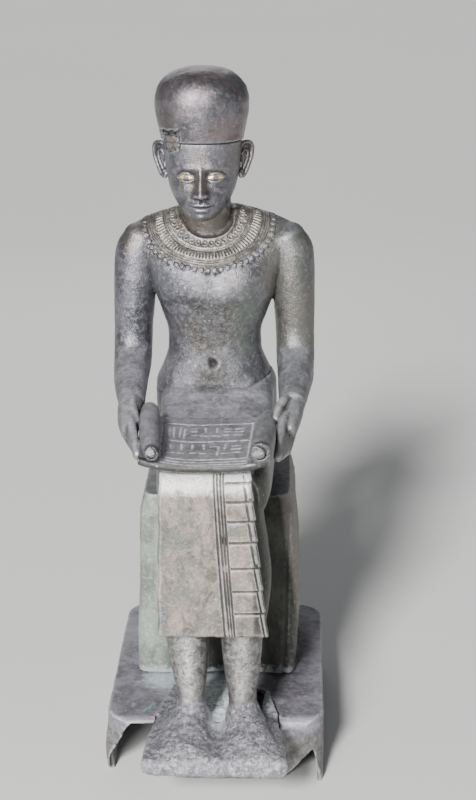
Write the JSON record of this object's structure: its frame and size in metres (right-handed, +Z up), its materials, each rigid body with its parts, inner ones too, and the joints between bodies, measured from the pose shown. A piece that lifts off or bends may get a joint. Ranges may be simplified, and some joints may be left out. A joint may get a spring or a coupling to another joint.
{
  "type": "seated bronze statuette",
  "caption": "Cast bronze statuette of a seated man in a skullcap and long kilt, reading an open papyrus on his lap, with a block seat on a hollow, partly broken base.",
  "frame": {"origin": "on the ground, under the middle of the whole piece's outline seen from above", "axes": "+Z up, -Y the way the figure faces, +X to the figure's left"},
  "size_m": [0.056, 0.09, 0.1759],
  "materials": {
    "dark_bronze": "worn dark patina",
    "green_bronze": "matt green patina",
    "violet_bronze": "matt violet-grey patina",
    "gold": "rubbed gold"
  },
  "bodies": {
    "root": {"figure": "dark_bronze", "seat": "green_bronze", "base": "violet_bronze", "right_eye_inlay": "gold", "left_eye_inlay": "gold"}
  },
  "joints": []
}
